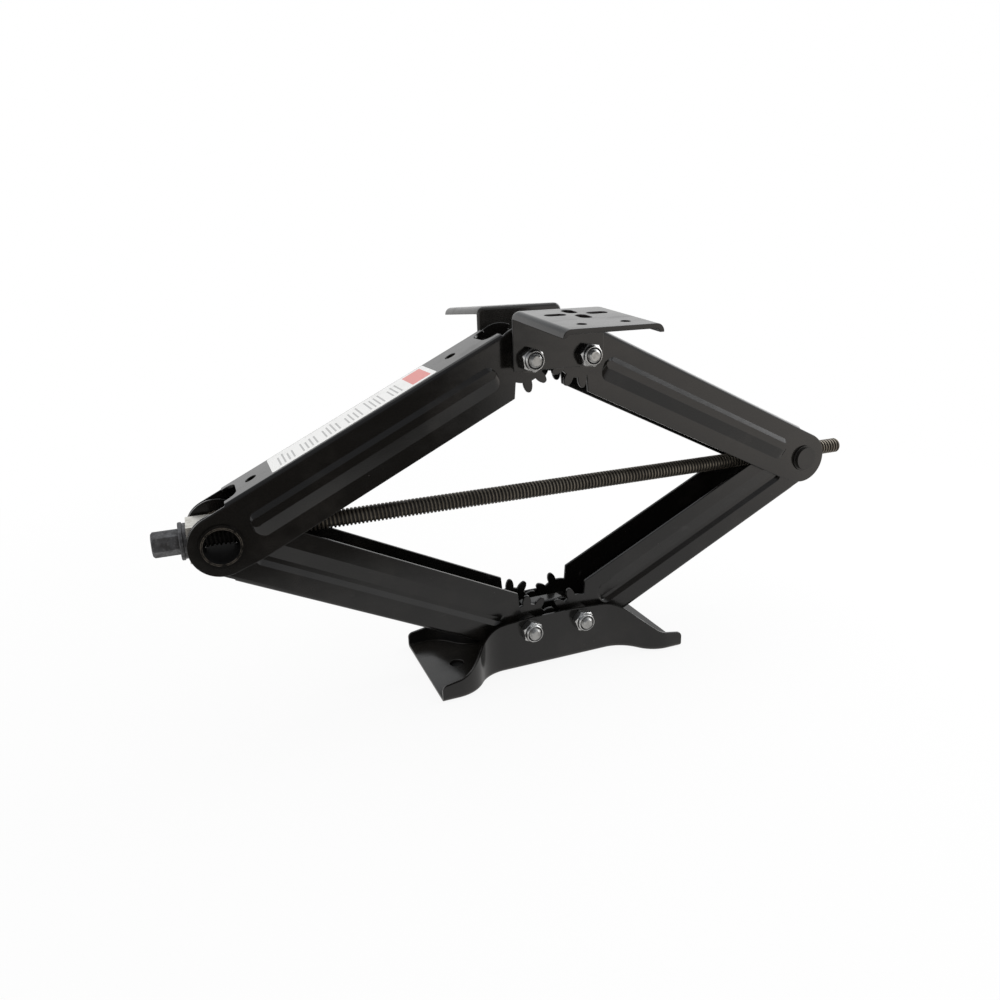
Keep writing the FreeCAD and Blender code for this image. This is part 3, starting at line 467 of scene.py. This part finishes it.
def shapeBeads(bm, node):
    # reshapes the long beads as pressed: steep by the web, gentle on the open side,
    # raised on the upper arms and sunk on the lower ones
    side = -1 if "left" in node else 1
    upper = "upper" in node
    knuckle = leftKnuckle if side < 0 else rightKnuckle
    pivot = headPivot if upper else basePivot
    along = (Vector((side * abs(pivot.x), knuckle.y, pivot.z)) - knuckle).normalized()
    outward = along.cross(alongY)
    if (outward.z > 0) != upper:
        outward.negate()
    half = max(abs(vert.co.y) for vert in bm.verts)
    rim, floor = (bead["upperRim"], bead["upperFloor"]) if upper else (bead["lowerRim"], bead["lowerFloor"])
    rings = {}
    for vert in bm.verts:
        arm = vert.co - knuckle
        across = arm.dot(outward)
        if abs(across) > bead["rim"] + bead["slack"] or not bead["start"] < arm.dot(along) < bead["end"]:
            continue
        depth = half - abs(vert.co.y)
        level = round(depth / bead["depth"])
        inside = level in (1, 3)                      # on the bead's floor, seen from either side
        if inside:
            place = floor[0] + across / bead["floor"] * floor[1]
        else:
            place = rim[0] + across / bead["rim"] * rim[1]
        vert.co += outward * (place - across)
        if inside:
            base = half if level == 1 else half - bead["wall"]
            vert.co.y = math.copysign(base + (bead["raised"] if upper else -bead["sunk"]), vert.co.y)
        rings[vert] = (level, vert.co.y > 0)
    folds = [edge for edge in bm.edges
             if edge.verts[0] in rings and rings[edge.verts[0]] == rings.get(edge.verts[1])]
    bmesh.ops.bevel(bm, geom=folds, offset=bead["round"], offset_type="OFFSET", segments=4, profile=0.5,
                    affect="EDGES", clamp_overlap=True, material=-1)


for arm in ("lower_left_arm", "lower_right_arm"):
    dress(arm, "worn_paint", rounding["arm"], 3, shapeBeads, clamp=False)
for arm in ("upper_left_arm", "upper_right_arm"):
    dress(arm, "black_paint", rounding["arm"], 3, shapeBeads, clamp=False)
dress("base_channel", "base_paint", rounding["base"], clamp=False)
dress("base_gear_spacer", "worn_paint", rounding["spacer"])
dress("front_head_bracket", "black_paint", rounding["bracket"], clamp=False)
dress("rear_head_bracket", "dusty_paint", rounding["bracket"], clamp=False)
dress("drive_trunnion", "tube_paint", rounding["tube"])
dress("nut_trunnion", "dull_paint", rounding["pin"])
dress("trunnion_washers", "dull_paint", rounding["washer"])
dress("thrust_block", "pale_steel", rounding["block"])
dress("thrust_washer", "dark_oxide", rounding["collar"])
dress("screw_collar", "dark_oxide", rounding["collar"])
for node in ("base_pivot_sleeves", "base_spacer_rings", "head_pivot_sleeves", "head_spacer_rings"):
    dress(node, "dark_steel", rounding["sleeve"])


# Lead screw
print("lead screw")
screw = {"pitch": 0.00356, "crest": 0.0080, "root": 0.00655, "tipDepth": 0.0015, "tipRadius": 0.0062,
         "spigot": 0.0060, "spigotChamfer": 0.0005, "lap": 0.0005, "smooth": 28.0}
screwLow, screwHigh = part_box("lead_screw")
screwStart = Vector((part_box("thrust_washer")[1].x, leftKnuckle.y, leftKnuckle.z))
screwLength = screwHigh.x - screwStart.x
bm = bmesh.new()
thread(bm, screwStart, alongX, screwLength, screw["pitch"], screw["crest"], screw["root"])
ringCuts(bm, screwStart, alongX, [screwLength - screw["tipDepth"], screwLength - screw["tipDepth"] / 2])
trimEnd(bm, screwStart, -alongX)
trimEnd(bm, screwStart + alongX * screwLength, alongX)
coneEnd(bm, screwStart, alongX, screwLength, screw["tipDepth"], screw["crest"], screw["tipRadius"])
spigotReach = screwStart.x - screwLow.x
spigotEnd = screw["spigot"] - screw["spigotChamfer"]
turned(bm, [(screw["lap"], 0.0), (screw["lap"], screw["spigot"]),
            (-spigotReach + screw["spigotChamfer"], screw["spigot"]),
            (-spigotReach, spigotEnd), (-spigotReach, 0.0)], screwStart, alongX, rodSteps)
bmesh.ops.recalc_face_normals(bm, faces=bm.faces)
piece("threaded_lead_screw", bm, "screw", oiledThread("oiledThread", screw["crest"], screw["root"]),
      ["lead_screw"], screw["smooth"])


# Drive head: flange, hexagon with coned end corners, blind bore on the spigot
print("drive head")
drive = {"flats": 0.019, "flange": 0.0030, "cone": 0.0016, "bore": 0.00602, "base": 0.0030,
         "round": 0.0004, "flangeEdge": 0.0003, "flangeChamfer": 0.0006, "endInset": 0.0002,
         "clear": 0.001}
driveLow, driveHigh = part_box("drive_head")
driveSeat = Vector((driveHigh.x, leftKnuckle.y, leftKnuckle.z))
driveLength = driveHigh.x - driveLow.x
beyondFlange = [vert.co - driveSeat for vert in nodes["drive_head"].data.vertices
                if driveHigh.x - vert.co.x > drive["flange"] + drive["clear"]]
corner = max(beyondFlange, key=lambda arm: arm.yz.length)
cornerSide = Vector((0, corner.y, corner.z)).normalized()
flatSide = startSide(30.0, alongX, cornerSide)
reachOut = hexCorner(drive["flats"])
reachIn = drive["flats"] / 2 - drive["endInset"]
flangeRadius = (driveHigh.z - driveLow.z) / 2
bm = bmesh.new()
outline = [(0.0, drive["bore"]), (0.0, flangeRadius - drive["flangeEdge"]),
           (drive["flangeEdge"], flangeRadius), (drive["flange"] - drive["flangeChamfer"], flangeRadius),
           (drive["flange"], flangeRadius - drive["flangeChamfer"]),
           (drive["flange"], reachOut), (driveLength - drive["cone"], reachOut)]
outline += [(driveLength - drive["cone"] * (1 - share), reachOut - (reachOut - reachIn) * share)
            for share in headSteps]
outline += [(driveLength, 0.0), (driveLength - drive["base"], 0.0),
            (driveLength - drive["base"], drive["bore"])]
turned(bm, outline, driveSeat, -alongX, hexSteps, flatSide, closed=True)


def onHexagon(vert):
    # beyond the flange, or on the ring where the hexagon leaves it
    out = driveHigh.x - vert.co.x
    near = (vert.co - driveSeat).yz.length < reachOut + mergeDistance
    return out > drive["flange"] + mergeDistance or (near and out > drive["flange"] - mergeDistance)


toHexagon(list(filter(onHexagon, bm.verts)), driveSeat, -alongX, flatSide, drive["flats"])
bmesh.ops.recalc_face_normals(bm, faces=bm.faces)
roundEdges(bm, sharpFold, hexFold, drive["round"], 2)
piece("wrench_head", bm, "screw", finishes["dark_oxide"], ["drive_head"], hexSmooth)


# Bolts and lock nuts
print("fasteners")
bolt = {"radius": 0.0060, "root": 0.0051, "pitch": 0.00175, "threaded": 0.026, "crestShare": 0.16,
        "flats": 0.019, "head": 0.0075, "washerFace": 0.0006, "washerInset": 0.0004, "chamfer": 0.0016,
        "rimInset": 0.0003, "topInset": 0.0003, "tipDepth": 0.0018, "tipRadius": 0.0041, "lap": 0.0005}
nut = {"flats": 0.019, "height": 0.012, "hexHeight": 0.0082, "chamfer": 0.0012, "seatShare": 0.6,
       "rimInset": 0.0002, "collar": 0.0091, "edge": 0.0003, "lip": 0.0073, "bore": 0.0060,
       "insertDepth": 0.0016, "seatDepth": 0.001, "insertHeight": 0.0009, "insertCrown": 0.0003,
       "insertGap": 0.00005}
hexRound = 0.00025
tipSteps = (0.35, 0.7, 1.0)
domeSteps = (0.0, 0.35, 0.7, 1.05, 1.35, 1.571)         # radians up the collar's quarter ellipse
nutTurns = (("left", -1, 38.0), ("right", 1, 51.0))     # side, its sign, degrees the hexagons stand turned


def lockNut(name, centre, turn, body, replaced):
    # hexagon with coned corners, a rolled collar and a dark insert round the bolt
    axis = -alongY                                    # from the wall outwards
    start = startSide(turn, axis, alongZ)
    corner = hexCorner(nut["flats"])
    rim = nut["flats"] / 2 - nut["rimInset"]
    tall = nut["hexHeight"]
    cone = nut["chamfer"]
    edge = nut["edge"]
    top = nut["height"] - nut["insertDepth"]
    bm = bmesh.new()
    outline = [(0.0, nut["bore"]), (0.0, rim)]
    outline += [(cone * share * nut["seatShare"], rim + (corner - rim) * share) for share in nutSteps]
    outline += [(tall * 0.5, corner)]
    outline += [(tall - cone * (1 - share), corner - (corner - rim) * share)
                for share in (0.0, *nutSteps)]
    dome = nut["collar"] - nut["lip"] - edge
    outline += [(tall + edge + (nut["height"] - tall - edge) * math.sin(rise),
                 nut["lip"] + edge + dome * math.cos(rise)) for rise in domeSteps]
    outline += [(nut["height"] - edge, nut["lip"]), (top - nut["seatDepth"], nut["lip"]),
                (top - nut["seatDepth"], nut["bore"])]
    turned(bm, outline, centre, axis, hexSteps, start, closed=True)
    hexagonVerts = [vert for vert in bm.verts if (vert.co - centre).dot(axis) < tall + mergeDistance]
    toHexagon(hexagonVerts, centre, axis, start, nut["flats"])
    bmesh.ops.recalc_face_normals(bm, faces=bm.faces)
    roundEdges(bm, sharpFold, hexFold, hexRound, 2)
    piece(name, bm, body, finishes["zinc"], replaced, hexSmooth)
    insert = bmesh.new()
    low = top - nut["insertHeight"]
    inner = nut["bore"] + nut["insertGap"]
    outer = nut["lip"] - nut["insertGap"]
    turned(insert, [(low, inner), (low, outer), (top, outer),
                    (top + nut["insertCrown"], (nut["lip"] + nut["bore"]) / 2), (top, inner)],
           centre, axis, start=start, closed=True)
    bmesh.ops.recalc_face_normals(insert, faces=insert.faces)
    piece(name + "_insert", insert, body, finishes["nylon"])


def hexBolt(name, x, z, far, near, turn, body, replaced):
    # threaded end at the near side, plain shank, chamfered head on the far wall
    tip = Vector((x, near, z))
    axis = alongY
    full = far - near
    threaded = bolt["threaded"]
    lap = bolt["lap"]
    bm = bmesh.new()
    thread(bm, tip, axis, threaded, bolt["pitch"], bolt["radius"], bolt["root"], 24, bolt["crestShare"])
    ringCuts(bm, tip, axis, [bolt["tipDepth"] * share for share in tipSteps])
    trimEnd(bm, tip, -axis)
    trimEnd(bm, tip + axis * threaded, axis)
    coneEnd(bm, tip, -axis, 0.0, bolt["tipDepth"], bolt["radius"], bolt["tipRadius"])
    seat = full - bolt["head"]
    turned(bm, [(threaded - lap, 0.0), (threaded - lap, bolt["radius"]),
                (seat + lap, bolt["radius"]), (seat + lap, 0.0)], tip, axis, rodSteps)
    bmesh.ops.recalc_face_normals(bm, faces=bm.faces)
    head = bmesh.new()
    corner = hexCorner(bolt["flats"])
    rim = bolt["flats"] / 2 - bolt["rimInset"]
    washer = rim - bolt["washerInset"]
    start = startSide(turn, axis, alongZ)
    face = seat + bolt["washerFace"]
    outline = [(seat, 0.0), (seat, washer), (face, washer), (face, corner), (full - bolt["chamfer"], corner)]
    outline += [(full - bolt["chamfer"] * (1 - share), corner - (corner - rim) * share)
                for share in headSteps]
    outline += [(full, rim - bolt["topInset"]), (full, 0.0)]
    turned(head, outline, tip, axis, hexSteps, start)
    raised = [vert for vert in head.verts if (vert.co - tip).dot(axis) > face - mergeDistance]
    toHexagon(raised, tip, axis, start, bolt["flats"])
    bmesh.ops.recalc_face_normals(head, faces=head.faces)
    roundEdges(head, sharpFold, hexFold, hexRound, 2)
    scratch = bpy.data.meshes.new(name + "_head")
    head.to_mesh(scratch)
    head.free()
    bm.from_mesh(scratch)
    bpy.data.meshes.remove(scratch)
    piece(name, bm, body, finishes["bolt_steel"], replaced, hexSmooth)


for prefix, pivot, body in (("base", basePivot, "base"), ("head", headPivot, "head")):
    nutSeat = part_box(prefix + "_lock_nuts")[1].y
    boltLow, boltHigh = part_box(prefix + "_pivot_bolts")
    for hand, sign, turn in nutTurns:
        x = sign * abs(pivot.x)
        lockNut("%s_%s_lock_nut" % (prefix, hand), Vector((x, nutSeat, pivot.z)), turn, body,
                [prefix + "_lock_nuts"])
        hexBolt("%s_%s_pivot_bolt" % (prefix, hand), x, pivot.z, boltHigh.y, boltLow.y, turn, body,
                [prefix + "_pivot_bolts"])


# Label: a bare film with a red end and plain grey bars
print("label")
film = {"corner": 0.002, "white": (0.84, 0.84, 0.83), "red": (0.72, 0.25, 0.23),
        "grey": (0.34, 0.34, 0.34), "dust": (0.55, 0.53, 0.50),
        "redStart": 0.138, "redEnd": 0.1565, "redHalf": 0.0185,
        "barHalf": 0.0008, "barStep": 0.0044, "barStart": 0.0085, "barEnd": 0.131,
        "barReach": 0.0165, "barRagged": 0.011, "blockSteps": 5.0, "blockBars": 3.5}
armAlong = (headPivot - leftKnuckle).normalized()
armUp = alongY.cross(armAlong) * -1
labelNode = nodes["blank_label"]
reach = [(vert.co - leftKnuckle).dot(armAlong) for vert in labelNode.data.vertices]
rise = [(vert.co - leftKnuckle).dot(armUp) for vert in labelNode.data.vertices]
labelLow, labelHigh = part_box("blank_label")
labelLength = max(reach) - min(reach)
labelCorner = leftKnuckle + armAlong * min(reach) + armUp * min(rise) + alongY * labelLow.y
labelWidth = labelHigh.y - labelLow.y


def labelPrint():
    finish = Finish("labelFilm")
    along = finish.dot(armAlong, labelCorner)
    across = finish.dot(alongY, labelCorner + alongY * (labelWidth / 2))
    red = (along > film["redStart"]) * (along < film["redEnd"]) * (across.size() < film["redHalf"])
    place = (along - film["barStart"]) / film["barStep"]
    number = finish.wire("ShaderNodeMath", {"operation": "FLOOR"}, {0: place})
    within = finish.wire("ShaderNodeMath", {"operation": "FRACT"}, {0: place})
    count = finish.wire("ShaderNodeMath", {"operation": "MODULO"}, {0: number, 1: film["blockSteps"]})
    length = finish.wire("ShaderNodeTexWhiteNoise", {"noise_dimensions": "1D"}, {"W": number}, "Value")
    bars = (within < 2 * film["barHalf"] / film["barStep"]) * (count < film["blockBars"])
    bars = bars * (across < film["barReach"] - length * film["barRagged"]) * (across > -film["barReach"])
    bars = bars * (along > film["barStart"]) * (along < film["barEnd"])
    shade = finish.blend(bars * 0.8, film["white"], film["grey"])
    shade = finish.blend(red, shade, film["red"])
    dust = finish.noise(0.02, 4.0).ramp(0.5, 0.8)
    shade = finish.blend(dust * 0.12, shade, film["dust"])
    finish.relief(finish.noise(0.004, 2.0), 0.00003, 0.5)
    return finish.set({"Base Color": shade, "Roughness": 0.36 + dust * 0.2})


bm = bmesh.new()
corners = [labelCorner + armAlong * (labelLength * a) + alongY * (labelWidth * b)
           for a, b in ((0, 0), (1, 0), (1, 1), (0, 1))]
face = bm.faces.new([bm.verts.new(corner) for corner in corners])
bmesh.ops.bevel(bm, geom=face.verts[:], offset=film["corner"], offset_type="OFFSET", segments=5,
                profile=0.5, affect="VERTICES", material=-1)
raised = bmesh.ops.extrude_face_region(bm, geom=bm.faces[:])
bmesh.ops.translate(bm, verts=vertsOf(raised), vec=armUp * (max(rise) - min(rise)))
bmesh.ops.recalc_face_normals(bm, faces=bm.faces)
piece("plain_label", bm, bodyOf["blank_label"], labelPrint(), ["blank_label"])


# Studio: pale floor, soft light, white beyond
print("studio")
viewpoint = {"place": (-0.301329, -0.661776, 0.38865), "yaw": 0.372, "pitch": -0.304, "roll": -0.033,
             "lens": 27.946, "sensor": 36.0}
studio = {"floorSize": 14.0, "floorDrop": 0.0004, "floor": (0.80, 0.80, 0.80), "ambient": (0.86,) * 3,
          "nearGlow": 0.90, "footHole": 0.095, "footHoleRadius": 0.010, "holeShadow": (0.02, 0.02, 0.02),
          "white": (1.0, 1.0, 1.0), "floorShade": (0.10, 0.09, 0.08),
          "table": (0.70, 0.69, 0.68), "rightLitTable": (1.22, 1.15, 1.08),
          "above": (0.62, 0.64, 0.66), "corner": (0.30, 0.31, 0.33), "room": (0.12, 0.11, 0.10)}
lamps = {"overhead": {"place": (0.1, 0.15, 1.45), "target": (0.0, 0.0, 0.15), "size": (1.2, 1.0),
                      "power": 3.4},
         "rightSide": {"place": (1.35, 0.15, 1.00), "target": (0.0, 0.0, 0.2), "size": (1.5, 1.1),
                       "power": 14.0}}


def makeCamera():
    yaw, pitch, roll = (viewpoint[name] for name in ("yaw", "pitch", "roll"))
    forward = Vector((math.sin(yaw) * math.cos(pitch), math.cos(yaw) * math.cos(pitch), math.sin(pitch)))
    level = Vector((math.cos(yaw), -math.sin(yaw), 0.0))
    upright = level.cross(forward)
    right = level * math.cos(roll) + upright * math.sin(roll)
    up = upright * math.cos(roll) - level * math.sin(roll)
    data = bpy.data.cameras.new("camera")
    data.lens = viewpoint["lens"]
    data.sensor_width = viewpoint["sensor"]
    data.clip_start = 0.01
    data.clip_end = 50.0
    camera = bpy.data.objects.new("camera", data)
    bpy.context.scene.collection.objects.link(camera)
    turn = Matrix((right, up, -forward)).transposed().to_4x4()
    camera.matrix_world = Matrix.Translation(viewpoint["place"]) @ turn
    bpy.context.scene.camera = camera


def makeFloor():
    # white to the camera; in reflections it glows as painted light, a bright table round the jack that brightens
    # to the right and a painted dark patch before it, and it holds painted shadow discs under the foot holes
    bm = bmesh.new()
    bmesh.ops.create_grid(bm, x_segments=1, y_segments=1, size=studio["floorSize"] / 2)
    bmesh.ops.translate(bm, verts=bm.verts, vec=(0, 0, -studio["floorDrop"]))
    mesh = bpy.data.meshes.new("floor")
    bm.to_mesh(mesh)
    bm.free()
    floor = bpy.data.objects.new("floor", mesh)
    bpy.context.scene.collection.objects.link(floor)
    finish = Finish("paleFloor")
    seen = finish.wire("ShaderNodeLightPath", output="Is Camera Ray")
    mirrored = finish.wire("ShaderNodeLightPath", output="Is Glossy Ray")
    x = finish.dot(alongX)
    y = finish.dot(alongY)
    away = (x * x + y * y).power(0.5)
    # painted shadow: dark discs under the foot holes, where the floor does not glow
    fromHole = x.size() - studio["footHole"]
    hole = (fromHole * fromHole + y * y).power(0.5) < studio["footHoleRadius"]
    glow = studio["nearGlow"] + away.ramp(0.45, 1.1) * (1.0 - studio["nearGlow"])
    # painted light and shade seen in reflections: a dark patch before the jack and a table that brightens to the
    # right
    front = (y * -1.0).ramp(0.22, 0.40)
    aside = (x + y * 0.36).ramp(-0.13, 0.12)
    dark = front * (1.0 - aside) * ((x + y * -0.8) > -0.1)
    shade = finish.blend(mirrored * dark, studio["white"], studio["floorShade"])
    table = finish.blend(x.ramp(0.25, 0.95), studio["table"], studio["rightLitTable"])
    shade = finish.blend(mirrored * (1.0 - dark), shade, table)
    light = finish.node("ShaderNodeEmission", {}, {"Color": shade, "Strength": 1.0})
    mixed = finish.node("ShaderNodeMixShader", {}, {0: (seen * glow + mirrored) * (1.0 - hole)})
    finish.set({"Base Color": finish.blend(hole, studio["floor"], studio["holeShadow"]), "Roughness": 0.8,
                "Specular IOR Level": 0.2})
    finish.tree.links.new(finish.surface.outputs[0], mixed.inputs[1])
    finish.tree.links.new(light.outputs[0], mixed.inputs[2])
    finish.tree.links.new(mixed.outputs[0], finish.tree.nodes["Material Output"].inputs["Surface"])
    mesh.materials.append(finish.material)


def makeLight(name):
    lamp = lamps[name]
    data = bpy.data.lights.new(name, "AREA")
    data.shape = "RECTANGLE"
    data.size, data.size_y = lamp["size"]
    data.energy = lamp["power"]
    made = bpy.data.objects.new(name, data)
    bpy.context.scene.collection.objects.link(made)
    made.location = lamp["place"]
    facing = Vector(lamp["target"]) - Vector(lamp["place"])
    made.rotation_euler = facing.to_track_quat("-Z", "Y").to_euler()


class Sky(Finish):
    # the world's nodes, which read a direction instead of a place
    def __init__(self, world):
        self.tree = world.node_tree
        self.place = self.wire("ShaderNodeTexCoord", output="Generated")


def makeWorld():
    # white to the camera; gloss sees it dimmer overhead, with a grey corner and a dark room behind
    # the camera; diffuse light is a little softer
    world = bpy.data.worlds.new("studio")
    bpy.context.scene.world = world
    world.use_nodes = True
    sky = Sky(world)
    seen = sky.wire("ShaderNodeLightPath", output="Is Camera Ray")
    mirrored = sky.wire("ShaderNodeLightPath", output="Is Glossy Ray")
    through = sky.wire("ShaderNodeLightPath", output="Is Transmission Ray")
    x, y, z = (sky.dot(axis) for axis in (alongX, alongY, alongZ))
    room = (1.0 - (x + y * 0.40).ramp(-0.20, 0.06)) * (1.0 - (x * -1.0 + y * 0.70).ramp(-0.10, 0.20))
    room = room * (1.0 - z.ramp(0.25, 0.60)) * mirrored
    corner = (1.0 - (x * 0.8 + y * 0.5).ramp(-0.18, 0.05)) * z.ramp(0.20, 0.40) * mirrored
    bright = sky.wire("ShaderNodeMath", {"operation": "MAXIMUM"}, {0: seen, 1: mirrored + through})
    level = sky.blend(bright, studio["ambient"], studio["white"])
    level = sky.blend(z.ramp(0.35, 0.55) * mirrored, level, studio["above"])
    level = sky.blend(corner, level, studio["corner"])
    level = sky.blend(room, level, studio["room"])
    background = sky.tree.nodes["Background"]
    background.inputs["Strength"].default_value = 1.0
    sky.feed(background.inputs["Color"], level)


makeCamera()
makeFloor()
makeWorld()
makeLight("overhead")
makeLight("rightSide")
bpy.context.scene.view_settings.view_transform = "Standard"
